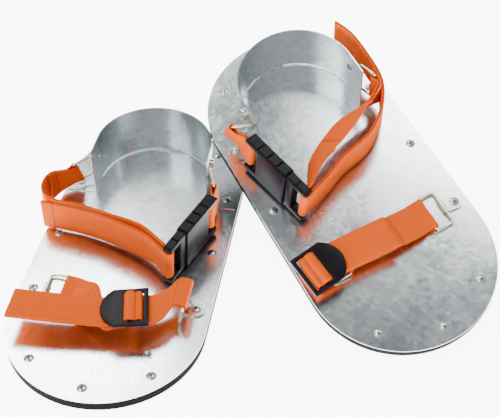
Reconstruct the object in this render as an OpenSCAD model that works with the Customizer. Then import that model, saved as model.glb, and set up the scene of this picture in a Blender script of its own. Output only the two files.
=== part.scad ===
// A pair of strap-on sole plates. Each overshoe is a steel plate on a rubber sole with a heel cup,
// an ankle strap with a side-release buckle and a toe strap with a ladder-lock buckle.
// One overshoe is drawn with its buckle side at +X, its toe at -Y and its sole on Z = 0.
// The left overshoe stands at the origin. The right one is its mirror image, and leans on it.

/* [Plate and sole] */
// Length of the plate
plate_len = 368; // [340:1:400]
// Width of the plate
plate_w = 178; // [172:1:190]
// Thickness of the steel plate
plate_t = 1.2; // [0.8:0.1:2]
// Thickness of the rubber sole
sole_t = 8.8; // [6:0.1:14]

/* [Heel cup] */
// Outside width of the cup
cup_w = 115; // [105:1:120]
// Height of the cup's wall
cup_h = 52; // [45:1:60]
// Thickness of the cup's sheet
cup_t = 1; // [0.8:0.1:1.5]
// Gap between the plate and the wall's lower edge
cup_gap = 2; // [1:0.5:4]
// Length of the straight flanks, and of the side tabs below them
flank = 25; // [20:1:30]
// Distance of the cup's front edges behind the middle of the plate
cup_front = 67.5; // [60:0.5:75]
// Distance of the side tabs' outer edges from the centre line
tab_reach = 86; // [80:1:88]
// Width of the back tab
back_tab_w = 27; // [20:1:32]

/* [Rivets] */
// Head diameter of the blind rivets
rivet_d = 9; // [7:0.5:10]
// Head height of the blind rivets
rivet_h = 1.6; // [1:0.1:2.5]
// Distance of the rivet row inside the plate's edge
rivet_in = 13.5; // [11:0.5:15]
// Distance between the rivets along each side
rivet_pitch = 75; // [70:1:80]

/* [Webbing, rings and clips] */
// Width of the webbing
web_w = 32; // [28:1:34]
// Thickness of the webbing
web_t = 1.6; // [1.2:0.1:2]
// Diameter of the ring wire
wire_d = 2.6; // [2:0.1:3]
// Width inside a ring
ring_w = 33; // [32:1:36]
// Distance from a ring's hinged leg to its far leg, between wire centres
ring_l = 18.5; // [17:0.5:20]

/* [Buckles] */
// Length of the side-release buckle
buckle_l = 80; // [78:1:84]
// Width of the side-release buckle
buckle_w = 44; // [43:1:46]
// Thickness of the side-release buckle
buckle_t = 12; // [11:0.5:13]
// Length of the ladder-lock buckle
lock_l = 42; // [41:1:45]
// Width of the ladder-lock buckle
lock_w = 41; // [40:1:44]
// Thickness of the ladder-lock buckle
lock_t = 3.6; // [3:0.1:4]

/* [How the right one leans] */
// Place of the right plate's middle, from the left sole's middle
right_at = [191.7, 71, 63.5];
// Turn of the right one about the vertical
right_yaw = 38.5; // [30:0.5:45]
// Lift of its heel
right_pitch = 14.9; // [10:0.1:16]
// Lift of its outer side
right_roll = 12.6; // [8:0.1:14]

/* [Hidden] */
$fn = 64;
top_z = sole_t + plate_t;
end_r = plate_w / 2;
end_y = plate_len / 2 - end_r;
cup_r = cup_w / 2;
cup_y = cup_front + flank;
cup_z = top_z + cup_gap;
rim_z = cup_z + cup_h;
fit = 0.05;                      // running clearance round a pin, on the radius
air = 0.4;                       // clearance between loose or sliding faces
shank_r = 2;
shank_l = 5;
mandrel_r = 1.2;
wire_r = wire_d / 2;
fold_r = wire_r + fit;           // inside of a clip's fold
clip_t = 1;                      // sheet of the clips
clip_w = 13;
clip_l = 12;                     // from the wire's centre to the clip's rivet
clip_end_r = 7.5;
corner_r = 3;
leg = ring_w + wire_d;           // a ring's width between wire centres
row_x = plate_w / 2 - rivet_in;  // the rivet rows and the clips' rivets
clip_y = -cup_front - 3.5;
chape_at = [90, 44];             // height and place of the ankle strap's two swing rivets
wire_x = cup_r + 0.3 + clip_t + fold_r;
bar_r = 2;                       // bars that the webbing turns round
wrap_r = bar_r + 0.7 + web_t / 2;
ring_wrap_r = wire_r + 0.7 + web_t / 2;

// Directions and places -----------------------------------------------------------------------
function unit(v) = v / norm(v);

// A frame at o whose x runs along b and whose z runs along a, as a matrix
function frame(o, b, a) =
  let (z = unit(a), x = unit(b - (b * z) * z), y = cross(z, x))
  [[x.x, y.x, z.x, o.x], [x.y, y.y, z.y, o.y], [x.z, y.z, z.z, o.z], [0, 0, 0, 1]];

// The point (x, y, z) of a frame
function at(m, x, y, z) = [for (i = [0:2]) m[i][0] * x + m[i][1] * y + m[i][2] * z + m[i][3]];

// A clip's frame: z along the wire, x towards the clip's rivet, -y towards what it is riveted to
function toe_clip_frame(side) =
  frame([side * (row_x - clip_l), clip_y, top_z + clip_t + fold_r], [side, 0, 0], [0, -side, 0]);
function chape_frame(side, k) =
  let (x = -unit((side > 0 ? chape_dir_inner : chape_dir_outer)[k]))
  frame([side * wire_x, chape_at.x, chape_at.y] - x * clip_l, x, cross(x, [side, 0, 0]));

// A ring's frame in its clip: the ring runs from the hinged leg along b
function ring_frame(clip, b) =
  frame([clip[0][3], clip[1][3], clip[2][3]], b, [clip[0][2], clip[1][2], clip[2][2]]);

// How each overshoe's loose pieces lie. The first entry is the left one's, the second the right one's.
// The chapes run from the swing rivet to the ring's hinged leg.
chape_dir_outer = [[0, -0.89, -0.456], [0, -1, 0]];
chape_dir_inner = [[0, -0.927, -0.375], [0, -0.89, -0.456]];
ankle_ring_dir_outer = [[-0.76, -0.6, -0.21], [-0.3, -0.95, 0]];
ankle_ring_dir_inner = [[0.35, -0.868, -0.351], [0.93, 0.33, 0.17]];
toe_ring_dir_outer = [[1, 0, 0.08], [1, 0, 0.1]];
toe_ring_dir_inner = [[0.2, 0, 0.98], [-0.99, 0, 0.12]];
// The side-release buckle: its plug end and its socket end
plug_end = [[43.5, -43, 34], [53, -19, 36]];
socket_end = [[70, 33, 36], [70, 57, 37]];
buckle_up = [[0, -0.17, 1], [-0.12, -0.05, 1]];
// The ladder-lock: its middle, and the way from its thumb tab to its end bar
lock_at = [[23, -96, 32], [73, -75, 26]];
lock_dir = [[0.97, 0.24, 0.03], [0.98, -0.1, -0.1]];
lock_bar_dir = [[0.24, -0.97, 0], [-0.1, -0.99, 0]];

function outer_ring(k) = ring_frame(chape_frame(-1, k), ankle_ring_dir_outer[k]);
function inner_ring(k) = ring_frame(chape_frame(1, k), ankle_ring_dir_inner[k]);
function outer_toe_ring(k) = ring_frame(toe_clip_frame(-1), toe_ring_dir_outer[k]);
function inner_toe_ring(k) = ring_frame(toe_clip_frame(1), toe_ring_dir_inner[k]);
function buckle_frame(k) =
  let (x = unit(socket_end[k] - plug_end[k]))
  frame(plug_end[k], x, buckle_up[k] - (buckle_up[k] * x) * x);
function lock_frame(k) = frame(lock_at[k], lock_dir[k], lock_bar_dir[k]);

// Plate, sole and cup ---------------------------------------------------------------------------
module stadium(h) {
  linear_extrude(h) union() {
    square([plate_w, 2 * end_y], center = true);
    for (s = [-1, 1]) translate([0, s * end_y]) circle(end_r, $fn = 128);
  }
}

// Places of the rivets that hold the plate to the sole
function arc_rivet(a) = [row_x * cos(a), sin(a) * row_x + (a < 0 ? -end_y : end_y)];
plate_rivet_places = [
  arc_rivet(-45), arc_rivet(-90), arc_rivet(-135), arc_rivet(45), arc_rivet(135),
  [-row_x, clip_y + rivet_pitch], [row_x, clip_y + rivet_pitch]
];
back_tab_y = cup_y + sqrt(cup_r * cup_r - back_tab_w * back_tab_w / 4);
cup_rivet_places = [
  [-row_x, cup_front + flank / 2], [row_x, cup_front + flank / 2], [0, back_tab_y + 11]
];
clip_rivet_places = [[-row_x, clip_y], [row_x, clip_y]];

module bores(places, h) {
  for (p = places) translate([p.x, p.y, -h]) cylinder(h = 3 * h, r = shank_r);
}

module sole() {
  color("#1c1c1e") difference() {
    stadium(sole_t);
    for (p = concat(plate_rivet_places, cup_rivet_places, clip_rivet_places))
      translate([p.x, p.y, top_z - shank_l]) cylinder(h = shank_l, r = shank_r);
  }
}

module base_plate() {
  color("#b4bcbc") translate([0, 0, sole_t]) difference() {
    stadium(plate_t);
    bores(concat(plate_rivet_places, cup_rivet_places, clip_rivet_places), plate_t);
  }
}

module cup_outline(r) {
  translate([0, cup_y]) circle(r, $fn = 128);
  translate([-r, cup_front - 1]) square([2 * r, flank + 1]);
}

module heel_cup() {
  color("#a9b3b3") difference() {
    union() {
      translate([0, 0, cup_z]) linear_extrude(cup_h) intersection() {
        difference() { cup_outline(cup_r); cup_outline(cup_r - cup_t); }
        translate([-cup_r, cup_front]) square([cup_w, plate_len]);
      }
      for (s = [-1, 1]) {
        translate([s > 0 ? cup_r - cup_t : -cup_r, cup_front, top_z]) cube([cup_t, flank, cup_gap + 1]);
        translate([s > 0 ? cup_r - cup_t : -tab_reach, cup_front, top_z])
          cube([tab_reach - cup_r + cup_t, flank, cup_t]);
      }
      translate([-back_tab_w / 2, back_tab_y - cup_t, top_z]) cube([back_tab_w, cup_t, cup_gap + 1]);
      translate([-back_tab_w / 2, back_tab_y - cup_t, top_z]) cube([back_tab_w, 19, cup_t]);
    }
    translate([0, 0, top_z]) bores(cup_rivet_places, cup_t);
    translate([-cup_w, chape_at.x, chape_at.y]) rotate([0, 90, 0]) cylinder(h = 2 * cup_w, r = shank_r);
  }
}

// Rivets ------------------------------------------------------------------------------------------
// A blind rivet's domed head with the mandrel's hole, and its shank, standing on z = 0
module rivet(shank) {
  dome_r = (rivet_d * rivet_d / 4 + rivet_h * rivet_h) / (2 * rivet_h);
  difference() {
    union() {
      intersection() {
        translate([0, 0, rivet_h - dome_r]) sphere(dome_r);
        cylinder(h = rivet_h, d = rivet_d);
      }
      translate([0, 0, -shank]) cylinder(h = shank, r = shank_r);
    }
    translate([0, 0, rivet_h - 1]) cylinder(h = 2, r = mandrel_r);
  }
}

module rivet_row(places, z) {
  color("#c4c8c8") for (p = places) translate([p.x, p.y, z]) rivet(z - top_z + shank_l);
}
module plate_rivets() { rivet_row(plate_rivet_places, top_z); }
module cup_rivets() { rivet_row(cup_rivet_places, top_z + cup_t); }
module clip_rivets() { rivet_row(clip_rivet_places, top_z + 2 * clip_t); }

// The two rivets that the ankle strap's chapes swing on: the head is inside the cup
module swing_rivets() {
  grip = wire_x - cup_r + cup_t - fold_r + clip_t;
  color("#c4c8c8") for (s = [-1, 1])
    translate([s * (cup_r - cup_t), chape_at.x, chape_at.y]) rotate([0, s * -90, 0]) {
      rivet(grip + 0.2);
      translate([0, 0, -grip - 1]) cylinder(h = 0.8, r = 3.4);
    }
}

// Clips and rings -----------------------------------------------------------------------------------
// A strip folded round the wire, with a round end: the wire's centre is the origin, the wire runs along z
module clip(bore_r) {
  color("#c9c9b4") difference() {
    union() {
      translate([0, 0, -clip_w / 2]) cylinder(h = clip_w, r = fold_r + clip_t);
      translate([0, -fold_r - clip_t, -clip_w / 2]) cube([clip_l, 2 * clip_t, clip_w]);
      translate([clip_l, -fold_r - clip_t, 0]) rotate([-90, 0, 0]) cylinder(h = 2 * clip_t, r = clip_end_r);
    }
    translate([0, 0, -clip_w]) cylinder(h = 2 * clip_w, r = fold_r);
    translate([clip_l, -5, 0]) rotate([-90, 0, 0]) cylinder(h = 10, r = bore_r);
  }
}
module toe_clip(side) { multmatrix(toe_clip_frame(side)) clip(shank_r); }
module chape(side, k) { multmatrix(chape_frame(side, k)) clip(shank_r + fit); }

// A wire ring with round corners: the hinged leg runs along z through the origin
module ring() {
  side = leg / 2 - corner_r;
  color("#d2d2be") {
    for (x = [0, ring_l]) translate([x, 0, -side]) cylinder(h = 2 * side, r = wire_r);
    for (s = [-1, 1]) {
      translate([corner_r, 0, s * leg / 2]) rotate([0, 90, 0])
        cylinder(h = ring_l - 2 * corner_r, r = wire_r);
      translate([corner_r, 0, s * side]) rotate([90, 0, 0])
        rotate([0, 0, s > 0 ? 90 : 180]) rotate_extrude(angle = 90) translate([corner_r, 0]) circle(wire_r);
      translate([ring_l - corner_r, 0, s * side]) rotate([90, 0, 0])
        rotate([0, 0, s > 0 ? 0 : 270]) rotate_extrude(angle = 90) translate([corner_r, 0]) circle(wire_r);
    }
  }
}

// Side-release buckle -----------------------------------------------------------------------------------
// Along x from the plug's webbing bar to the socket's, thickness along y, width along z
plug_bar_x = 3;
plug_l = 25;                        // the part of the plug that stays outside
socket_x = plug_l + air;
socket_bar_x = buckle_l - 3;
prong_l = 27;

module buckle_block(x0, x1, w, t) {
  translate([x0, -t / 2, -w / 2]) cube([x1 - x0, t, w]);
}

module plug_shape() {
  slot_l = 11;
  color("#17171a") union() {
    difference() {
      buckle_block(0, plug_l, buckle_w, buckle_t - 3);
      buckle_block(plug_bar_x + bar_r, plug_bar_x + bar_r + slot_l, ring_w + 1, buckle_t);
      translate([-1, -buckle_t, -(ring_w + 1) / 2]) cube([2 * bar_r + 3, 2 * buckle_t, ring_w + 1]);
    }
    translate([plug_bar_x, 0, -buckle_w / 2 + 2]) cylinder(h = buckle_w - 4, r = bar_r);
    for (s = [-1, 1]) {
      translate([plug_l - 1, -2.5, s * 12.5 - 3]) cube([prong_l - 6, 5, 6]);
      translate([plug_l + prong_l - 16, -2.5, s * 15 - 4.5]) cube([14, 5, 9]);
    }
    translate([plug_l - 1, -1.5, -4]) cube([prong_l - 3, 3, 8]);
  }
}

module socket_shape() {
  cavity_l = 32;
  window_x = plug_l + prong_l - 17;
  color("#17171a") union() {
    difference() {
      buckle_block(socket_x, buckle_l, buckle_w, buckle_t);
      buckle_block(socket_x - 1, socket_x + cavity_l, 2 * 19.5 + 2 * air, 5 + 2 * air);
      buckle_block(window_x, window_x + 18, buckle_w + 2, 5 + 2 * air);
      buckle_block(socket_bar_x - bar_r - 11, buckle_l + 1, ring_w + 1, buckle_t + 1);
    }
    translate([socket_bar_x, 0, -buckle_w / 2 + 2]) cylinder(h = buckle_w - 4, r = bar_r);
  }
}

module buckle_plug(k) { multmatrix(buckle_frame(k)) plug_shape(); }
module buckle_socket(k) { multmatrix(buckle_frame(k)) socket_shape(); }

// Ladder-lock ---------------------------------------------------------------------------------------------
// Along x from the thumb tab to the end bar, thickness along y, bars along z. The origin is on the bar
// that the loose end turns round; the bar beside it holds the sewn loop.
tab_l = 20;
window = [-6, 12];
loop_bar_x = 7.4;
lock_bar_r = 1.4;
lock_wrap_r = lock_bar_r + 0.5 + web_t / 2;
slot_w = web_w + 2;

module lock_outline() {
  translate([window.x - 1, -lock_w / 2]) square([lock_l - tab_l + 1, lock_w]);
  intersection() {
    translate([window.x - tab_l + 24, 0]) circle(24);
    translate([window.x - tab_l, -lock_w / 2]) square([tab_l, lock_w]);
  }
}

module lock_shape() {
  color("#17171a") union() {
    rotate([90, 0, 0]) linear_extrude(lock_t, center = true) difference() {
      lock_outline();
      translate([window.x, -slot_w / 2]) square([window.y - window.x, slot_w]);
    }
    for (x = [0, loop_bar_x]) translate([x, 0, 0])
      cylinder(h = slot_w + 2, r = lock_bar_r, center = true);
  }
}
module toe_buckle(k) { multmatrix(lock_frame(k)) lock_shape(); }

// Webbing ---------------------------------------------------------------------------------------------------
// Each row of a route is a point of the webbing's middle and the direction of its width.
function blend4(a, b, c, d, t) =
  0.5 * (2 * b + (c - a) * t + (2 * a - 5 * b + 4 * c - d) * t * t + (3 * b - a - 3 * c + d) * t * t * t);
function smooth(rows, n) = [
  for (i = [0:len(rows) - 2], j = [0:n - 1])
    blend4(rows[max(i - 1, 0)], rows[i], rows[i + 1], rows[min(i + 2, len(rows) - 1)], j / n),
  rows[len(rows) - 1]
];
function row(p, u) = [p.x, p.y, p.z, u.x, u.y, u.z];
function axis_of(m, i) = [m[0][i], m[1][i], m[2][i]];

// A turn round a bar along z of the frame m at (x, 0), from one angle to another
function turn(m, x, r, from, to, up = 1, n = 4) = [
  for (i = [0:n]) let (a = from + (to - from) * i / n)
    row(at(m, x + r * cos(a), r * sin(a), 0), up * axis_of(m, 2))
];

// Rows moved off along the webbing's face, and rows in the other order
function place(q) = [q[0], q[1], q[2]];
function width(q) = [q[3], q[4], q[5]];
function beside(rows, d) = [
  for (i = [0:len(rows) - 1])
    let (
      t = place(rows[min(i + 1, len(rows) - 1)]) - place(rows[max(i - 1, 0)]),
      n = unit(cross(t, width(rows[i])))
    )
    row(place(rows[i]) + d * n, width(rows[i]))
];
function back(rows) = [for (i = [len(rows) - 1:-1:0]) rows[i]];
// A sewn loop from one bar to another: both turns, and the two plies beside the given middle
ply = web_t / 2 + 0.35;
function loop(middle, first, last, side) =
  concat(first, beside(middle, side * ply), last, back(beside(middle, -side * ply)));
// A sewn end round a bar: a short ply beside the first rows, the turn, and the rows
function hemmed(rows, bar, side) =
  concat(back(beside([rows[0], rows[1], rows[2]], side * 2 * ply)), bar, rows);

module webbing(rows, n = 3) {
  s = smooth(rows, n);
  m = len(s);
  p = [for (q = s) [q[0], q[1], q[2]]];
  points = [
    for (i = [0:m - 1])
      let (
        t = unit(p[min(i + 1, m - 1)] - p[max(i - 1, 0)]),
        u = unit([s[i][3], s[i][4], s[i][5]]),
        v = unit(cross(t, u))
      )
      for (c = [[-1, -1], [1, -1], [1, 1], [-1, 1]])
        p[i] + u * c.x * web_w / 2 + v * c.y * web_t / 2
  ];
  sides = [
    for (i = [0:m - 2], j = [0:3])
      let (a = 4 * i + j, b = 4 * i + (j + 1) % 4)
      for (f = [[a, a + 4, b + 4], [a, b + 4, b]]) f
  ];
  last = 4 * m - 4;
  color("#e8601c")
    polyhedron(points, concat([[0, 1, 2, 3]], [[last + 3, last + 2, last + 1, last]], sides),
      convexity = 8);
}

// The routes of the two overshoes' straps, as they lie
up = [0, 0, 1];
function left_ankle_long() = let (r = outer_ring(0), b = buckle_frame(0), open = 66) concat(
  hemmed([
      row(at(r, ring_l + 8, -1, 0), axis_of(r, 2)),
      row([-91.5, 55.5, 30.5], [0, -0.2, 0.97]), [-96, 43, 32, 0, 0, 1], [-97, 30, 31, 0, 0, 1],
      [-90, 17, 31, 0, 0, 1], [-75, 11.5, 31, 0, 0, 1], [-50, 9, 31, 0, 0, 1], [-22, 2, 31, 0, 0, 1],
      [10, -7.5, 32, 0, 0, 1], [33.5, -25, 34, 0, -0.1, 1]
    ], turn(r, ring_l, ring_wrap_r, 90, 270), -1),
  turn(b, plug_bar_x, wrap_r, open - 90, open - 270),
  [
    [30, -31.5, 34, 0, -0.1, 1], [15, -20.5, 32.5, 0, 0, 1], [-20, -5.5, 30.5, 0, 0, 1],
    [-50, 3.5, 29, 0, 0, 1], [-77, 7.5, 28.5, 0, 0, 1], [-91, 9, 28.2, 0, 0, 1]
  ]);
function right_ankle_long() = let (r = outer_ring(1), b = buckle_frame(1), open = 77) concat(
  hemmed([
      row(at(r, ring_l + 7, 2, 0), axis_of(r, 2)),
      row([-58, 50, 45], [-0.05, -0.2, 1]), [-45, 45, 46, -0.15, -0.4, 0.9],
      [-22, 36, 46.5, -0.3, -0.65, 0.7], [3, 24, 46, -0.3, -0.65, 0.7], [25, 13, 44, -0.25, -0.45, 0.85],
      row(at(b, 10, 13, 3), axis_of(b, 2))
    ], turn(r, ring_l, ring_wrap_r, 300, 100), 1),
  turn(b, plug_bar_x, wrap_r, open - 90, open - 270),
  [
    row(at(b, 1.8, 12, -1.5), axis_of(b, 2)), [20, -5, 30, 0, 0, 1], [0, 5, 29, 0, 0, 1],
    [-33, 14, 30, 0, 0, 1], [-55, 29, 33, 0, 0, 1], [-68, 46, 37, 0, 0, 1], [-73.5, 62, 41, 0, 0, 1],
    [-73.5, 88, 46, 0, 0, 1], [-71, 112, 50, 0, 0, 1], [-64, 130, 52, 0, 0, 1]
  ]);
function left_ankle_short() = let (r = inner_ring(0), b = buckle_frame(0)) loop(
  [row(at(r, ring_l + 7.5, 1.6, 0), -axis_of(r, 2)), [68.6, 47, 32.6, 0, -0.2, 0.98],
    row(at(b, socket_bar_x + 8, 2.6, 0), axis_of(b, 2))],
  turn(r, ring_l, ring_wrap_r, 106, 286, -1),
  turn(b, socket_bar_x, wrap_r, -67, -247), -1);
function right_ankle_short() = let (r = inner_ring(1), b = buckle_frame(1)) loop(
  [row(at(r, ring_l - 4.5, 6.2, 0), -axis_of(r, 2)), [73.7, 71, 39.3, 0, -0.2, 0.98],
    row(at(b, socket_bar_x + 8, -0.2, 0), axis_of(b, 2))],
  turn(r, ring_l, ring_wrap_r, 217, 397, -1),
  turn(b, socket_bar_x, wrap_r, -92, -272), -1);

// Through the ladder-lock: up round its first bar, and the loose end back under the tab
function lock_turn(l) = concat(
  [for (p = [[-24, -6.4], [-14, -5.9], [-6, -5.3]]) row(at(l, p.x, p.y, 0), axis_of(l, 2))],
  turn(l, 0, lock_wrap_r, -90, 150),
  [for (p = [[-3.7, -0.6], [-4.9, -2.5], [-7.6, -3.4], [-16, -3.7]]) row(at(l, p.x, p.y, 0), axis_of(l, 2))]
);
// The sewn loop round the second bar: on the left both plies pass out under the end bar, and on the
// right, where the strap is slack, they turn back under the buckle
function lock_loop_back(l) = concat(
  [for (p = [[0.5, -9.2], [5, -7.6], [8.8, -4.2]]) row(at(l, p.x, p.y, 0), axis_of(l, 2))],
  turn(l, loop_bar_x, lock_wrap_r, -20, 190, 1, 6),
  [for (p = [[4.5, -3.2], [2.2, -5.9]]) row(at(l, p.x, p.y, 0), axis_of(l, 2))]
);
function lock_loop(l) = concat(
  [for (p = [[17, -5.7], [13.5, -5.4], [10, -4]]) row(at(l, p.x, p.y, 0), axis_of(l, 2))],
  turn(l, loop_bar_x, lock_wrap_r, -90, -360, 1, 6),
  [for (p = [[10.35, -1.5], [11.3, -2.8], [13.5, -3.3], [17, -3.4]]) row(at(l, p.x, p.y, 0), axis_of(l, 2))]
);
function left_toe_long() = let (r = outer_toe_ring(0), l = lock_frame(0)) concat(
  hemmed([
      row(at(r, ring_l + 7, -1.2, 0), -axis_of(r, 2)), [-30, -77, 20, -0.3, -0.95, 0],
      [-18, -84, 25, -0.25, -0.95, 0]
    ], turn(r, ring_l, ring_wrap_r, 90, 270, -1), 1),
  lock_turn(l),
  [row(at(l, -28, -3.7, 0), axis_of(l, 2)), [-18, -103.5, 27.8, 0.12, -0.99, 0],
    [-42, -106, 29, 0.04, -1, 0], [-81, -108, 30, 0.04, -1, 0]]);
function right_toe_long() = let (r = outer_toe_ring(1), l = lock_frame(1)) concat(
  hemmed([
      row(at(r, ring_l + 7, -1.2, 0), -axis_of(r, 2)), [-30, -72.5, 17.5, 0, -1, 0],
      [-10, -73.5, 20, 0, -1, 0], [20, -73.5, 21.5, 0, -1, 0]
    ], turn(r, ring_l, ring_wrap_r, 90, 270, -1), 1),
  lock_turn(l),
  [[42, -73, 24.5, 0, -1, 0], [18, -74, 25.5, 0, -1, 0], [-4, -75, 26.5, 0, -1, 0]]);
function left_toe_short() = let (r = inner_toe_ring(0), l = lock_frame(0)) loop(
  [row(at(l, 20, -4.6, 0), axis_of(l, 2)), [52, -82, 29, 0.1, -0.99, 0],
    row(at(r, ring_l, 9, 0), axis_of(r, 2))],
  lock_loop(l), turn(r, ring_l, ring_wrap_r, 0, -180), -1);
function right_toe_short() = let (r = inner_toe_ring(1), l = lock_frame(1)) loop(
  [for (p = [[-5, -8.3, 0], [-14, -9.5, -1.5], [-20, -11.4, -2]]) row(at(l, p.x, p.y, p.z), axis_of(l, 2))],
  lock_loop_back(l), turn(r, ring_l, ring_wrap_r, -90, 90), 1);

module ankle_long_strap(k) { webbing(k == 0 ? left_ankle_long() : right_ankle_long()); }
module ankle_short_strap(k) { webbing(k == 0 ? left_ankle_short() : right_ankle_short()); }
module toe_long_strap(k) { webbing(k == 0 ? left_toe_long() : right_toe_long()); }
module toe_short_strap(k) { webbing(k == 0 ? left_toe_short() : right_toe_short()); }

// Both overshoes ------------------------------------------------------------------------------------------
module on_right() {
  translate(right_at) rotate([0, 0, right_yaw]) rotate([right_pitch, 0, 0]) rotate([0, -right_roll, 0])
    translate([0, 0, -top_z]) mirror([1, 0, 0]) children();
}

sole();  // left_sole
base_plate();  // left_base_plate
heel_cup();  // left_heel_cup
plate_rivets();  // left_plate_rivets
cup_rivets();  // left_cup_rivets
swing_rivets();  // left_swing_rivets
clip_rivets();  // left_clip_rivets
toe_clip(-1);  // left_toe_clip_outer
toe_clip(1);  // left_toe_clip_inner
multmatrix(outer_toe_ring(0)) ring();  // left_toe_ring_outer
multmatrix(inner_toe_ring(0)) ring();  // left_toe_ring_inner
chape(-1, 0);  // left_chape_outer
chape(1, 0);  // left_chape_inner
multmatrix(outer_ring(0)) ring();  // left_ankle_ring_outer
multmatrix(inner_ring(0)) ring();  // left_ankle_ring_inner
buckle_plug(0);  // left_buckle_plug
buckle_socket(0);  // left_buckle_socket
toe_buckle(0);  // left_toe_buckle
ankle_long_strap(0);  // left_ankle_long_strap
ankle_short_strap(0);  // left_ankle_short_strap
toe_long_strap(0);  // left_toe_long_strap
toe_short_strap(0);  // left_toe_short_strap

on_right() sole();  // right_sole
on_right() base_plate();  // right_base_plate
on_right() heel_cup();  // right_heel_cup
on_right() plate_rivets();  // right_plate_rivets
on_right() cup_rivets();  // right_cup_rivets
on_right() swing_rivets();  // right_swing_rivets
on_right() clip_rivets();  // right_clip_rivets
on_right() toe_clip(-1);  // right_toe_clip_outer
on_right() toe_clip(1);  // right_toe_clip_inner
on_right() multmatrix(outer_toe_ring(1)) ring();  // right_toe_ring_outer
on_right() multmatrix(inner_toe_ring(1)) ring();  // right_toe_ring_inner
on_right() chape(-1, 1);  // right_chape_outer
on_right() chape(1, 1);  // right_chape_inner
on_right() multmatrix(outer_ring(1)) ring();  // right_ankle_ring_outer
on_right() multmatrix(inner_ring(1)) ring();  // right_ankle_ring_inner
on_right() buckle_plug(1);  // right_buckle_plug
on_right() buckle_socket(1);  // right_buckle_socket
on_right() toe_buckle(1);  // right_toe_buckle
on_right() ankle_long_strap(1);  // right_ankle_long_strap
on_right() ankle_short_strap(1);  // right_ankle_short_strap
on_right() toe_long_strap(1);  // right_toe_long_strap
on_right() toe_short_strap(1);  // right_toe_short_strap
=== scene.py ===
# A pair of strap-on sole plates: a left one standing flat and a right one leaning on its heel cup.
import math

import bpy
from mathutils import Matrix, Vector


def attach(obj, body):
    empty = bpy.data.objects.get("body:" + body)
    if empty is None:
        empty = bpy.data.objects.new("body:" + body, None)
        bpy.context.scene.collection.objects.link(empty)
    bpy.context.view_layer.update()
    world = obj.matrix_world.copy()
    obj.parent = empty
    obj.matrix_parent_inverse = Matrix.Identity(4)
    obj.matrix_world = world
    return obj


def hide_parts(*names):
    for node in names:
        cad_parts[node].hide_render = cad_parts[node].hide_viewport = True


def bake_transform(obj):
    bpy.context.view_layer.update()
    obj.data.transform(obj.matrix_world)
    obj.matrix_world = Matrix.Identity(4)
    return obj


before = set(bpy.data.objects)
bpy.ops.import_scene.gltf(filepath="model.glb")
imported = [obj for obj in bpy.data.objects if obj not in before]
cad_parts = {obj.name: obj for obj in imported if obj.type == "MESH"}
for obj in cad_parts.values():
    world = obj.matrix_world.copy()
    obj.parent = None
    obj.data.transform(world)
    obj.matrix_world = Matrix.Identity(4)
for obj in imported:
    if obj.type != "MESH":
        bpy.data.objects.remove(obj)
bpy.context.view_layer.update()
SIDES = ("left", "right")

# ---- Camera -------------------------------------------------------------------------------------
# A short telephoto held above the toes, looking down on both overshoes and turned slightly to the left.
HEADING, DOWN, ROLL = math.radians(8.48), math.radians(42.355), math.radians(1.4)
camera = bpy.data.objects.new("camera", bpy.data.cameras.new("camera"))
bpy.context.scene.collection.objects.link(camera)
camera.data.sensor_width = 36
camera.data.lens = 68.69
camera.data.clip_start = 0.05
camera.rotation_mode = "QUATERNION"
camera.location = (0.2048, -0.6260, 0.6538)
camera.rotation_quaternion = (Matrix.Rotation(HEADING, 3, "Z")
                              @ Matrix.Rotation(math.radians(90) - DOWN, 3, "X")
                              @ Matrix.Rotation(ROLL, 3, "Z")).to_quaternion()
bpy.context.scene.camera = camera

# ---- Studio: a white table top and big soft lights ----------------------------------------------
# The table glows white. The steel mirrors the sky, which is grey at the horizon, bright above it and
# darker straight overhead.
floor_mesh = bpy.data.meshes.new("floor")
floor_mesh.from_pydata([(-4, -4, 0), (4, -4, 0), (4, 4, 0), (-4, 4, 0)], [], [(0, 1, 2, 3)])
floor = bpy.data.objects.new("floor", floor_mesh)
floor.location = (0.1, 0.1, -0.0004)
bpy.context.scene.collection.objects.link(floor)


class Wire:
    """A value in a shader: arithmetic on it adds Math nodes, and node() adds any other node."""

    def __init__(self, tree, socket=None):
        self.tree, self.socket = tree, socket

    def node(self, kind, out, *inputs, **settings):
        made = self.tree.nodes.new("ShaderNode" + kind)
        for key, value in settings.items():
            setattr(made, key, value)
        for place, value in zip(made.inputs, inputs):
            if isinstance(value, Wire):
                self.tree.links.new(value.socket, place)
            elif value is not None:
                place.default_value = value
        return Wire(self.tree, made.outputs[out])

    def math(self, operation, *others):
        return self.node("Math", 0, self, *others, operation=operation)

    def __add__(self, other):
        return self.math("ADD", other)

    def __sub__(self, other):
        return self.math("SUBTRACT", other)

    def __mul__(self, other):
        return self.math("MULTIPLY", other)

    def __truediv__(self, other):
        return self.math("DIVIDE", other)

    def clip(self, low, high, to_low=0.0, to_high=1.0):
        return self.node("MapRange", 0, self, low, high, to_low, to_high, clamp=True)

    def mix(self, first, second):
        """Colour: first where this is 0, second where it is 1."""
        return self.node("Mix", 2, self, None, None, None, None, None, first, second, data_type="RGBA")


def material(name, colour, roughness, metallic=0.0, **constants):
    """A Principled material, and the wire that its own nodes start from."""
    made = bpy.data.materials.new(name)
    made.use_nodes = True
    made.diffuse_color = (*colour, 1)
    shader = made.node_tree.nodes["Principled BSDF"]
    shader.inputs["Base Color"].default_value = (*colour, 1)
    shader.inputs["Roughness"].default_value = roughness
    shader.inputs["Metallic"].default_value = metallic
    for key, value in constants.items():
        shader.inputs[key.replace("_", " ")].default_value = value
    return made, shader, Wire(made.node_tree)


def wire_to(shader, name, value):
    value.tree.links.new(value.socket, shader.inputs[name])


paper, _, _ = material("white_table", (0.97, 0.97, 0.97), 0.9, Emission_Color=(1, 1, 1, 1),
                       Emission_Strength=8.0)
floor.data.materials.append(paper)

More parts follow.
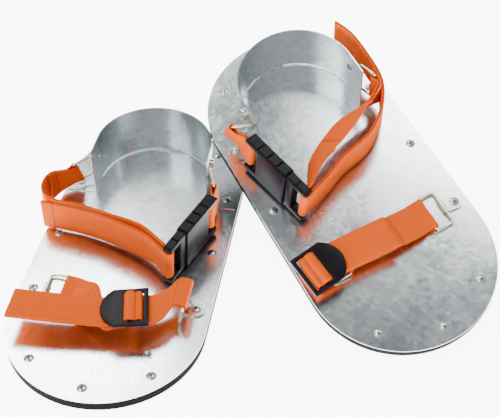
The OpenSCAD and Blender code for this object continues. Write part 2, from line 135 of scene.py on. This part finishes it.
world = bpy.data.worlds.new("room")
bpy.context.scene.world = world
world.use_nodes = True
room = Wire(world.node_tree)
sky = world.node_tree.nodes["Background"]
sky.inputs["Strength"].default_value = 0.9
height = room.node("SeparateXYZ", 2, room.node("TexCoord", "Generated"))
low_sky = height.clip(0.0, 0.45).mix((0.36, 0.37, 0.39, 1), (0.95, 0.96, 0.97, 1))
wire_to(sky, "Color", height.clip(0.72, 0.96).mix(low_sky, (0.3, 0.31, 0.32, 1)))

for name, place, aim, size, power in (
    ("key", (-0.9, -0.9, 1.9), (0.1, 0, 0), (1.3, 1.0), 28),
    ("over_left_toe", (-0.52, 0.78, 1.25), (-0.04, -0.12, 0), (0.6, 0.45), 14),
    ("over_right_heel", (0.42, 0.62, 1.5), (0.3, 0.18, 0.1), (0.62, 0.5), 13),
):
    lamp = bpy.data.objects.new(name, bpy.data.lights.new(name, "AREA"))
    lamp.data.shape = "RECTANGLE"
    lamp.data.size, lamp.data.size_y = size
    lamp.data.energy = power
    lamp.location = place
    lamp.rotation_mode = "QUATERNION"
    lamp.rotation_quaternion = (Vector(aim) - Vector(place)).to_track_quat("-Z", "Y")
    bpy.context.scene.collection.objects.link(lamp)


def from_cad(node, name, body, finish, bevel=0.0, smooth=40):
    """A copy of a CAD node's shape with its edges softened, which stands for the node."""
    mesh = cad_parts[node].data.copy()
    piece = bpy.data.objects.new(name, mesh)
    bpy.context.scene.collection.objects.link(piece)
    mesh.materials.clear()
    mesh.materials.append(finish)
    weld = piece.modifiers.new("weld", "WELD")
    weld.merge_threshold = 1e-6
    if bevel:
        softened = piece.modifiers.new("bevel", "BEVEL")
        softened.width = bevel
        softened.segments = 2
        softened.limit_method = "ANGLE"
        softened.angle_limit = math.radians(smooth)
    bpy.context.view_layer.objects.active = piece
    for modifier in [m.name for m in piece.modifiers]:
        with bpy.context.temp_override(object=piece):
            bpy.ops.object.modifier_apply(modifier=modifier)
    mesh.shade_smooth()
    with bpy.context.temp_override(object=piece, selected_objects=[piece],
                                   selected_editable_objects=[piece]):
        bpy.ops.object.shade_smooth_by_angle(angle=math.radians(smooth))
    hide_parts(node)
    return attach(piece, body)


# ---- Where each overshoe stands -----------------------------------------------------------------
# The left one stands flat on the table. The right one is its mirror image, turned, with its heel and
# outer side up. A point in millimetres in an overshoe's own frame becomes one in metres in the scene.
METRES = Matrix.Scale(0.001, 4)
stand = {"left": METRES, "right": METRES @ Matrix.Translation((191.7, 71, 63.5))
         @ Matrix.Rotation(math.radians(38.5), 4, "Z") @ Matrix.Rotation(math.radians(14.9), 4, "X")
         @ Matrix.Rotation(math.radians(-12.6), 4, "Y") @ Matrix.Translation((0, 0, -10))
         @ Matrix.Diagonal((-1, 1, 1, 1))}

# ---- Base plates and heel cups ------------------------------------------------------------------
# Galvanised sheet steel, sheared and riveted. The zinc has a fine spangle that breaks up what it mirrors.
steel, steel_shader, at = material("galvanised", (0.6, 0.64, 0.65), 0.2, 1.0)
spot = at.node("TexCoord", "Object")
spangle = at.node("TexVoronoi", "Color", spot, None, 260.0, feature="F1")
grain = at.node("SeparateColor", 0, spangle)
flake = at.node("SeparateColor", 1, spangle)
patchy = at.node("TexNoise", 0, spot, None, 14.0, 3.0, 0.6)
speck = at.node("TexNoise", 0, spot, None, 1200.0, 2.0, 0.6)
scuff = at.node("TexNoise", 0, spot, None, 60.0, 5.0, 0.7)
shade = grain * 0.1 + patchy * 0.3 + speck * 0.06 + scuff * 0.12
wire_to(steel_shader, "Base Color",
        shade.clip(0.14, 0.44).mix((0.46, 0.5, 0.52, 1), (0.72, 0.76, 0.77, 1)))
wire_to(steel_shader, "Roughness", flake * 0.05 + patchy * 0.12 + scuff * 0.08 + 0.1)
wire_to(steel_shader, "Normal", at.node("Bump", 0, 0.12, 0.0003, None, grain * 0.5 + speck * 0.3 + patchy))
for side in SIDES:
    for part in ("base_plate", "heel_cup"):
        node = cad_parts[side + "_" + part]
        node.data.materials.clear()
        node.data.materials.append(steel)

# ---- Soles --------------------------------------------------------------------------------------
# A black rubber pad the size of the plate, held to its underside by the rivets. Its cut edge is matt
# and a little crumbly.
rubber, rubber_shader, at = material("rubber", (0.0015, 0.0014, 0.0016), 0.7, Specular_IOR_Level=0.03)
crumb = at.node("TexNoise", 0, at.node("TexCoord", "Object"), None, 900.0, 3.0, 0.6)
wire_to(rubber_shader, "Base Color",
        crumb.clip(0.3, 0.7).mix((0.001, 0.001, 0.001, 1), (0.003, 0.0028, 0.003, 1)))
wire_to(rubber_shader, "Roughness", crumb * 0.2 + 0.6)
wire_to(rubber_shader, "Normal", at.node("Bump", 0, 0.3, 0.0003, None, crumb))
for side in SIDES:
    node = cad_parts[side + "_sole"]
    node.data.materials.clear()
    node.data.materials.append(rubber)

# ---- Rivets -------------------------------------------------------------------------------------
# Aluminium blind rivets. The head is a dome with a hole in its middle, where the mandrel was pulled
# through and broke off.
rivet, rivet_shader, at = material("rivet_metal", (0.46, 0.47, 0.47), 0.3, 1.0)
tarnish = at.node("TexNoise", 0, at.node("TexCoord", "Object"), None, 700.0, 3.0, 0.6)
wire_to(rivet_shader, "Base Color", tarnish.clip(0.3, 0.7).mix((0.4, 0.41, 0.41, 1), (0.54, 0.55, 0.55, 1)))
wire_to(rivet_shader, "Roughness", tarnish * 0.2 + 0.2)
for side in SIDES:
    for part in ("plate_rivets", "cup_rivets", "swing_rivets", "clip_rivets"):
        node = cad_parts[side + "_" + part]
        node.data.materials.clear()
        node.data.materials.append(rivet)

# The broken mandrel leaves a domed stub at the bottom of each hole. Its near-black colour is painted shade,
# darkening the hole as the shade down in it would.
stub_painted_shade, stub_painted_shade_shader, at = material("mandrel", (0.05, 0.05, 0.05), 0.5, 0.6)
torn = at.node("TexNoise", 0, at.node("TexCoord", "Object"), None, 2500.0, 2.0, 0.5)
wire_to(stub_painted_shade_shader, "Base Color", torn.clip(0.3, 0.7).mix((0.03, 0.03, 0.03, 1), (0.08, 0.08, 0.08, 1)))


def stubs(name, body, places):
    """Domed discs of 1.15 mm radius, each at (point, direction) in metres."""
    points, faces = [], []
    for spot, way in places:
        turn_to = way.to_track_quat("Z", "Y")
        first = len(points)
        for radius, rise in ((1.15, 0.05), (0.85, 0.3), (0.45, 0.42)):
            points += [spot + turn_to @ Vector((radius * math.cos(i * math.pi / 6),
                                                radius * math.sin(i * math.pi / 6), rise)) * 0.001
                       for i in range(12)]
        faces += [(first + r * 12 + i, first + r * 12 + (i + 1) % 12,
                   first + (r + 1) * 12 + (i + 1) % 12, first + (r + 1) * 12 + i)
                  for r in range(2) for i in range(12)]
        faces.append(tuple(first + 24 + i for i in range(12)))
    mesh = bpy.data.meshes.new(name)
    mesh.from_pydata(points, [], faces)
    # The near-black stub material is painted shade for the rivet holes.
    mesh.materials.append(stub_painted_shade)
    mesh.shade_smooth()
    piece = bpy.data.objects.new(name, mesh)
    bpy.context.scene.collection.objects.link(piece)
    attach(piece, body)


# The heads follow the plate's edge: along both sides, and round each end from one centre, but for the
# one behind the heel. They sit on the plate, on the heel cup's tabs or on the toe clips. The heights are
# those of the bottom of each head's hole, where its stub starts.
ROW, END = 75.5, 95
corner = ROW * math.sqrt(0.5)
ON_PLATE, ON_TAB, ON_CLIP = 10.6, 11.6, 12.6
rivet_spots = [
    (corner, -END - corner, ON_PLATE), (0, -END - ROW, ON_PLATE), (-corner, -END - corner, ON_PLATE),
    (corner, END + corner, ON_PLATE), (-corner, END + corner, ON_PLATE),
    (-ROW, 4, ON_PLATE), (ROW, 4, ON_PLATE),
    (-ROW, 80, ON_TAB), (ROW, 80, ON_TAB), (0, 159.4, ON_TAB),
    (-ROW, -71, ON_CLIP), (ROW, -71, ON_CLIP)]
# The chapes swing on a rivet through each wall of the cup, with its head and so its stub on the inside.
SWING = Vector((55.9, 90, 44))
for side in SIDES:
    up_way = stand[side].to_3x3() @ Vector((0, 0, 1))
    places = [(stand[side] @ Vector(p), up_way) for p in rivet_spots]
    places += [(stand[side] @ Vector((way * SWING.x, SWING.y, SWING.z)),
                stand[side].to_3x3() @ Vector((-way, 0, 0))) for way in (-1, 1)]
    stubs(side + "_mandrels", side + "_shoe", places)

# ---- Clips, chapes and rings --------------------------------------------------------------------
# Nickel-plated steel. Each strip is folded round one leg of a bent wire ring, so that the ring swings.
# The toe clips are riveted to the plate, and the ankle chapes to the heel cup.
nickel, nickel_shader, at = material("nickel", (0.62, 0.6, 0.47), 0.2, 1.0)
bloom = at.node("TexNoise", 0, at.node("TexCoord", "Object"), None, 350.0, 4.0, 0.6)
wire_to(nickel_shader, "Base Color", bloom.clip(0.3, 0.7).mix((0.54, 0.51, 0.38, 1), (0.7, 0.68, 0.56, 1)))
wire_to(nickel_shader, "Roughness", bloom * 0.2 + 0.1)
for side in SIDES:
    for part in ("toe_clip_outer", "toe_clip_inner", "toe_ring_outer", "toe_ring_inner",
                 "chape_outer", "chape_inner", "ankle_ring_outer", "ankle_ring_inner"):
        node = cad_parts[side + "_" + part]
        node.data.materials.clear()
        node.data.materials.append(nickel)

# ---- Buckles ------------------------------------------------------------------------------------
# Black moulded acetal: a side-release buckle on each ankle strap, with its plug's prongs showing in the
# socket's side windows, and a ladder-lock on each toe strap.
plastic, plastic_shader, at = material("black_acetal", (0.003, 0.002, 0.0045), 0.4, Specular_IOR_Level=0.11)
grain = at.node("TexNoise", 0, at.node("TexCoord", "Object"), None, 1500.0, 2.0, 0.5)
wire_to(plastic_shader, "Normal", at.node("Bump", 0, 0.12, 0.0002, None, grain))
for side in SIDES:
    from_cad(side + "_buckle_plug", side + "_plug_shell", side + "_plug",
             plastic, 0.0006)
    from_cad(side + "_buckle_socket", side + "_socket_shell", side + "_ankle_harness",
             plastic, 0.0007)
    from_cad(side + "_toe_buckle", side + "_lock_shell", side + "_toe_lock",
             plastic, 0.0006)

# ---- Straps -------------------------------------------------------------------------------------
# Woven orange polypropylene webbing, 32 mm wide, with fine ribs, sewn loops and hemmed loose ends.
webbing, webbing_shader, at = material("orange_webbing", (0.85, 0.09, 0.002), 0.75, Specular_IOR_Level=0.12)
run = at.node("Attribute", "Vector", attribute_type="GEOMETRY", attribute_name="run")
across = at.node("SeparateXYZ", 0, run)
lengthwise = at.node("SeparateXYZ", 1, run)
mark = at.node("SeparateXYZ", 2, run)
thread = (across * (2 * math.pi / 0.0032)).math("SINE").clip(-0.5, -0.2)
stitch = mark.math("ABSOLUTE").clip(0.0007, 0.0004) * thread
ribs = (across * (2 * math.pi / 0.0016)).math("SINE")
picks = ((lengthwise + across * 0.35) * (2 * math.pi / 0.0011)).math("SINE")
weave = ribs * 0.6 + picks * 0.4
fuzz = at.node("TexNoise", 0, at.node("TexCoord", "Object"), None, 700.0, 3.0, 0.6)
tone = (weave * 0.22 + fuzz * 0.7).clip(0.0, 0.7)
wire_to(webbing_shader, "Base Color",
        stitch.mix(tone.mix((0.5, 0.05, 0.0, 1), (0.8, 0.115, 0.0, 1)), (0.2, 0.014, 0.0, 1)))
wire_to(webbing_shader, "Normal", at.node("Bump", 0, 0.35, 0.00035, None, weave + stitch * -1.5))


# The routes below are in millimetres in one overshoe's own frame: the socket's side at +X, the toe at -Y
# and the sole on Z = 0.
def axes(origin, b, a):
    """A frame at origin whose x runs along b and whose z runs along a."""
    z = Vector(a).normalized()
    x = (Vector(b) - Vector(b).dot(z) * z).normalized()
    return Matrix.Translation(origin) @ Matrix((x, z.cross(x), z)).transposed().to_4x4()


def row(m, x, y, way=1, z=0):
    """A row of webbing at (x, y) of a frame, with its width along the frame's z."""
    return m @ Vector((x, y, z)), m.to_3x3() @ Vector((0, 0, way))


def free(x, y, z, *width):
    """A row of webbing between fittings, standing on its edge unless a width direction is given."""
    return Vector((x, y, z)), Vector(width or (0, 0, 1))


def turn(m, x, r, first, last, way=1, steps=4):
    """Rows round a bar along z of a frame, from one angle to another."""
    angles = [math.radians(first + (last - first) * i / steps) for i in range(steps + 1)]
    return [row(m, x + r * math.cos(a), r * math.sin(a), way) for a in angles]


def beside(rows, distance):
    """The rows moved off along the webbing's face."""
    moved = []
    for i, (point, width) in enumerate(rows):
        t = rows[min(i + 1, len(rows) - 1)][0] - rows[max(i - 1, 0)][0]
        moved.append((point + t.cross(width).normalized() * distance, width))
    return moved


def loop(middle, first, last, way):
    """A closed loop: two plies either side of the middle rows, joined by a turn at each end."""
    return first + beside(middle, way * PLY) + last + beside(middle, -way * PLY)[::-1]


def hemmed(rows, bar, way):
    """Rows that start with a short sewn ply, which goes back to the bar and round it."""
    return beside(rows[:3], way * 2 * PLY)[::-1] + bar + rows


def smooth(rows, n=3):
    """A Catmull-Rom curve through the rows, as unit width and face directions in metres."""
    values = [(*p, *w) for p, w in rows]
    fine = []
    for i in range(len(values) - 1):
        four = [values[j] for j in (max(i - 1, 0), i, i + 1, min(i + 2, len(values) - 1))]
        for t in (k / n for k in range(n)):
            fine.append([0.5 * (2 * q + (r - o) * t + (2 * o - 5 * q + 4 * r - s) * t * t
                                + (3 * q - o - 3 * r + s) * t ** 3) for o, q, r, s in zip(*four)])
    fine.append(values[-1])
    made = []
    for i, q in enumerate(fine):
        a, b = fine[max(i - 1, 0)], fine[min(i + 1, len(fine) - 1)]
        t = (Vector(b[:3]) - Vector(a[:3])).normalized()
        u = Vector(q[3:]).normalized()
        made.append((Vector(q[:3]), u * 16, t.cross(u).normalized() * WEB_T / 2))
    return made


# The webbing's thickness and half the distance between two plies, then the far bar of a ring, the radius at
# which webbing goes round a ring, a buckle's bar or a ladder-lock's, and where those bars are.
WEB_T, PLY = 1.6, 1.15
RING_L, RING_R, BAR_R, LOCK_R = 18.5, 2.8, 3.5, 2.7
PLUG_BAR, SOCKET_BAR, LOCK_BAR = 3, 77, 7.4


def clip_frame(way, x):
    """The frame of an ankle chape's wire: x towards the swing rivet."""
    x = Vector(x).normalized()
    return axes(Vector((way * 60.15, 90, 44)) - 12 * x, x, x.cross(Vector((way, 0, 0))))


def ring(clip, b):
    """The frame of a ring that hangs on a clip's wire and points along b."""
    return axes(clip.translation, b, clip.to_3x3() @ Vector((0, 0, 1)))


def along(origin, b, a):
    """A frame at origin whose x is b and whose z lies towards a."""
    x = Vector(b).normalized()
    return axes(origin, b, Vector(a) - Vector(a).dot(x) * x)


# Directions from a chape's wire up to its swing rivet, then the frames of the clips, rings and buckles.
low, lower, level = (0, 0.927, 0.375), (0, 0.89, 0.456), (0, 1, 0)
toe_clip = {way: axes((way * 63.5, -71, 12.35), (way, 0, 0), (0, -way, 0)) for way in (-1, 1)}
outer_ring = {"left": ring(clip_frame(-1, lower), (-0.76, -0.6, -0.21)),
              "right": ring(clip_frame(-1, level), (-0.3, -0.95, 0))}
inner_ring = {"left": ring(clip_frame(1, low), (0.35, -0.868, -0.351)),
              "right": ring(clip_frame(1, lower), (0.93, 0.33, 0.17))}
outer_toe_ring = {"left": ring(toe_clip[-1], (1, 0, 0.08)), "right": ring(toe_clip[-1], (1, 0, 0.1))}
inner_toe_ring = {"left": ring(toe_clip[1], (0.2, 0, 0.98)), "right": ring(toe_clip[1], (-0.99, 0, 0.12))}
release = {"left": along((43.5, -43, 34), (26.5, 76, 2), (0, -0.17, 1)),
           "right": along((53, -19, 36), (17, 76, 1), (-0.12, -0.05, 1))}
lock = {"left": axes((23, -96, 32), (0.97, 0.24, 0.03), (0.24, -0.97, 0)),
        "right": axes((73, -75, 26), (0.98, -0.1, -0.1), (-0.1, -0.99, 0))}


def lock_turn(m):
    """Up round the ladder-lock's first bar, and back under the tab."""
    return ([row(m, -24, -6.4), row(m, -14, -5.9), row(m, -6, -5.3)] + turn(m, 0, LOCK_R, -90, 150)
            + [row(m, -3.7, -0.6), row(m, -4.9, -2.5), row(m, -7.6, -3.4), row(m, -16, -3.7)])


def lock_loop(m):
    """Round its second bar, with both plies passing under the end bar."""
    return ([row(m, 17, -5.7), row(m, 13.5, -5.4), row(m, 10, -4)]
            + turn(m, LOCK_BAR, LOCK_R, -90, -360, 1, 6)
            + [row(m, 10.35, -1.5), row(m, 11.3, -2.8), row(m, 13.5, -3.3), row(m, 17, -3.4)])


def lock_loop_back(m):
    """Round its second bar, with both plies turning back under the buckle."""
    return ([row(m, 0.5, -9.2), row(m, 5, -7.6), row(m, 8.8, -4.2)]
            + turn(m, LOCK_BAR, LOCK_R, -20, 190, 1, 6) + [row(m, 4.5, -3.2), row(m, 2.2, -5.9)])


def routes(side):
    """Every strap's rows for one overshoe."""
    outer, inner = outer_ring[side], inner_ring[side]
    outer_toe, inner_toe = outer_toe_ring[side], inner_toe_ring[side]
    buckle, ladder = release[side], lock[side]
    if side == "left":
        return {
            "ankle_long_strap": hemmed([
                row(outer, RING_L + 8, -1), free(-91.5, 55.5, 30.5, 0, -0.2, 0.97), free(-96, 43, 32),
                free(-97, 30, 31), free(-90, 17, 31), free(-75, 11.5, 31), free(-50, 9, 31),
                free(-22, 2, 31), free(10, -7.5, 32), free(33.5, -25, 34, 0, -0.1, 1)],
                turn(outer, RING_L, RING_R, 90, 270), -1)
            + turn(buckle, PLUG_BAR, BAR_R, -24, -204)
            + [free(30, -31.5, 34, 0, -0.1, 1), free(15, -20.5, 32.5), free(-20, -5.5, 30.5),
               free(-50, 3.5, 29), free(-77, 7.5, 28.5), free(-91, 9, 28.2)],
            "ankle_short_strap": loop(
                [row(inner, RING_L + 7.5, 1.6, -1), free(68.6, 47, 32.6, 0, -0.2, 0.98),
                 row(buckle, SOCKET_BAR + 8, 2.6)],
                turn(inner, RING_L, RING_R, 106, 286, -1), turn(buckle, SOCKET_BAR, BAR_R, -67, -247), -1),
            "toe_long_strap": hemmed([
                row(outer_toe, RING_L + 7, -1.2, -1), free(-30, -77, 20, -0.3, -0.95, 0),
                free(-18, -84, 25, -0.25, -0.95, 0)], turn(outer_toe, RING_L, RING_R, 90, 270, -1), 1)
            + lock_turn(ladder)
            + [row(ladder, -28, -3.7), free(-18, -103.5, 27.8, 0.12, -0.99, 0),
               free(-42, -106, 29, 0.04, -1, 0), free(-81, -108, 30, 0.04, -1, 0)],
            "toe_short_strap": loop(
                [row(ladder, 20, -4.6), free(52, -82, 29, 0.1, -0.99, 0), row(inner_toe, RING_L, 9)],
                lock_loop(ladder), turn(inner_toe, RING_L, RING_R, 0, -180), -1)}
    return {
        "ankle_long_strap": hemmed([
            row(outer, RING_L + 7, 2), free(-58, 50, 45, -0.05, -0.2, 1),
            free(-45, 45, 46, -0.15, -0.4, 0.9), free(-22, 36, 46.5, -0.3, -0.65, 0.7),
            free(3, 24, 46, -0.3, -0.65, 0.7), free(25, 13, 44, -0.25, -0.45, 0.85),
            row(buckle, 10, 13, z=3)],
            turn(outer, RING_L, RING_R, 300, 100), 1)
        + turn(buckle, PLUG_BAR, BAR_R, -13, -193)
        + [row(buckle, 1.8, 12, z=-1.5),
           free(20, -5, 30), free(0, 5, 29), free(-33, 14, 30), free(-55, 29, 33), free(-68, 46, 37),
           free(-73.5, 62, 41), free(-73.5, 88, 46), free(-71, 112, 50), free(-64, 130, 52)],
        "ankle_short_strap": loop(
            [row(inner, RING_L - 4.5, 6.2, -1), free(73.7, 71, 39.3, 0, -0.2, 0.98),
             row(buckle, SOCKET_BAR + 8, -0.2)],
            turn(inner, RING_L, RING_R, 217, 397, -1), turn(buckle, SOCKET_BAR, BAR_R, -92, -272), -1),
        "toe_long_strap": hemmed([
            row(outer_toe, RING_L + 7, -1.2, -1), free(-30, -72.5, 17.5, 0, -1, 0),
            free(-10, -73.5, 20, 0, -1, 0), free(20, -73.5, 21.5, 0, -1, 0)],
            turn(outer_toe, RING_L, RING_R, 90, 270, -1), 1)
        + lock_turn(ladder)
        + [free(42, -73, 24.5, 0, -1, 0), free(18, -74, 25.5, 0, -1, 0), free(-4, -75, 26.5, 0, -1, 0)],
        "toe_short_strap": loop(
            [row(ladder, -5, -8.3), row(ladder, -14, -9.5, z=-1.5), row(ladder, -20, -11.4, z=-2)],
            lock_loop_back(ladder), turn(inner_toe, RING_L, RING_R, -90, 90), 1)}


def fold_under(fine, way):
    """The webbing turned back at its loose end, with a second ply that lies under all of the first."""
    (end, u, n), (before, _, _) = fine[-1], fine[-2]
    thick, t = n.normalized() * way, (end - before).normalized()
    gap = METRES[0][0] * (WEB_T + 0.1)
    made = list(fine) + [(end + t * 0.0006 + thick * gap * 0.15, u, n),
                         (end + t * 0.0009 + thick * gap * 0.5, u, n)]
    for p, u2, n2 in fine[:0:-1]:
        made.append((p + n2.normalized() * way * gap, u2, -n2))
    return made


def strip(fine, marks=(), start_v=0.0):
    """Points, faces and run values of webbing with rounded selvedges. Marks are stitch lines, in metres."""
    rows = []
    for a, b in zip(fine, fine[1:]):
        rows += [tuple(p.lerp(q, k / 2) for p, q in zip(a, b)) for k in range(2)]
    rows.append(fine[-1])
    section = [(-0.95, -1), (-0.5, -1), (0, -1), (0.5, -1), (0.95, -1), (0.99, -0.6), (1, 0), (0.99, 0.6),
               (0.95, 1), (0.5, 1), (0, 1), (-0.5, 1), (-0.95, 1), (-0.99, 0.6), (-1, 0), (-0.99, -0.6)]
    m = len(section)
    points, runs, v = [], [], start_v
    for i, (middle, u, n) in enumerate(rows):
        v += (middle - rows[i - 1][0]).length if i else 0
        near = min([v - mark for mark in marks] + [1.0], key=abs)
        for x, y in section:
            points.append(middle + u * x + n * y)
            runs.append((x * 0.016, v, near))
    faces = [(i * m + j, i * m + (j + 1) % m, (i + 1) * m + (j + 1) % m, (i + 1) * m + j)
             for i in range(len(rows) - 1) for j in range(m)]
    faces += [tuple(range(m))[::-1], tuple(range(len(points) - m, len(points)))]
    return points, faces, runs


def webbing_piece(name, node, fine, b, start, end, marks=(), start_v=0.0):
    """One length of webbing, baked into the scene's frame and attached to no body. The arguments b, start
    and end are not used.
    """
    points, faces, runs = strip(fine, marks, start_v)
    mesh = bpy.data.meshes.new(name)
    mesh.from_pydata(points, [], faces)
    run_values = mesh.attributes.new("run", "FLOAT_VECTOR", "POINT").data
    run_values.foreach_set("vector", [c for r in runs for c in r])
    mesh.materials.append(webbing)
    mesh.shade_smooth()
    piece = bpy.data.objects.new(name, mesh)
    bpy.context.scene.collection.objects.link(piece)
    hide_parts(node)
    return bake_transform(piece)


def length_of(fine):
    """The length of webbing along its middle, in metres."""
    return sum((q[0] - p[0]).length for p, q in zip(fine, fine[1:]))


for side in SIDES:
    place, shoe, harness = stand[side], side + "_shoe", side + "_ankle_harness"
    turned = place.to_3x3().normalized()
    settled = {part: [(place @ p, turned @ (u * 0.001), turned @ (n * 0.001))
                      for p, u, n in smooth(rows + ([rows[0]] if "short" in part else []))]
               for part, rows in routes(side).items()}

    # The long straps: a hemmed loop on the outer ring, through the buckle, and a loose end that is
    # turned back and stitched across. Each is cut in two, and the buckle end's second ply runs back to
    # the cut. Cut and near_ring count cross sections.
    for part, body, ring_body, buckle_body, cut, near_ring in (
            ("ankle_long_strap", harness, "_ankle_ring_outer_body", "_plug", 36, 27),
            ("toe_long_strap", shoe, "_toe_ring_outer_body", "_toe_lock", 30, 26)):
        fine = settled[part]
        first, second = fine[:cut + 1], fold_under(fine[cut:], 1)
        done, rest = length_of(first), length_of(fine[cut:])
        webbing_piece(f"{side}_{part}_ring_end", side + "_" + part, first, side + ring_body,
                      fine[cut][0], fine[near_ring][0], marks=(0.004, 0.011))
        near_buckle = (release[side] @ Vector((-14, 0, 0)) if "ankle" in part
                       else lock[side] @ Vector((-18, 0, 0)))
        webbing_piece(f"{side}_{part}_buckle_end", side + "_" + part, second, side + buckle_body,
                      fine[cut][0], place @ near_buckle, marks=(done + rest - 0.0115,), start_v=done)

    # The short ankle strap is a sewn loop between the inner ring and the socket.
    fine = settled["ankle_short_strap"]
    inner = inner_ring[side] @ Vector((RING_L + 4, 0, 0))
    bar = release[side] @ Vector((SOCKET_BAR + 5, 0, 0))
    webbing_piece(side + "_ankle_short_webbing", side + "_ankle_short_strap", fine,
                  side + "_ankle_ring_inner_body", place @ bar, place @ inner)

    # The short toe strap is the same, from the ladder-lock to the inner ring, and both plies are cut
    # between them. Top and under count cross sections round the loop.
    fine = settled["toe_short_strap"]
    top, under = (48, 69) if side == "left" else (39, 63)
    middle = (fine[top][0] + fine[under][0]) / 2
    lock_bar = place @ (lock[side] @ Vector((LOCK_BAR, 0, 0)))
    ring_bar = place @ (inner_toe_ring[side] @ Vector((RING_L, 0, 0)))
    webbing_piece(side + "_toe_short_lock_end", side + "_toe_short_strap",
                  fine[under:] + fine[1:top + 1], side + "_toe_lock", middle, lock_bar)
    webbing_piece(side + "_toe_short_ring_end", side + "_toe_short_strap",
                  fine[top:under + 1], side + "_toe_ring_inner_body", middle, ring_bar)

# ---- Grip ribs of the side-release buckles ------------------------------------------------------
# Both long edges of plug and socket are moulded in raised blocks with grooves between them.
for side in SIDES:
    for part, body, half, spans in (
            ("plug_ribs", "_plug", 3.9, ((0.8, 11.6), (12.8, 23.8))),
            ("socket_ribs", "_ankle_harness", 5.2, ((26.6, 37.8), (39, 50.2), (51.4, 62.6), (63.8, 76)))):
        points, faces = [], []
        for edge in (-1, 1):
            for a, b in spans:
                first = len(points)
                for inset, rise in ((0, 21.4), (0, 22.7), (0.35, 23.15), (0.9, 23.3)):
                    points += [stand[side] @ (release[side] @ Vector((x, y, edge * rise))) for x, y in (
                        (a + inset, -half + inset), (b - inset, -half + inset), (b - inset, half - inset),
                        (a + inset, half - inset))]
                faces += [(first + r * 4 + i, first + r * 4 + (i + 1) % 4, first + r * 4 + 4 + (i + 1) % 4,
                           first + r * 4 + 4 + i) for r in range(3) for i in range(4)]
                faces += [(first + 3, first + 2, first + 1, first), tuple(first + 12 + i for i in range(4))]
        mesh = bpy.data.meshes.new(part)
        mesh.from_pydata(points, [], faces)
        mesh.materials.append(plastic)
        piece = bpy.data.objects.new(side + "_" + part, mesh)
        bpy.context.scene.collection.objects.link(piece)
        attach(piece, side + body)
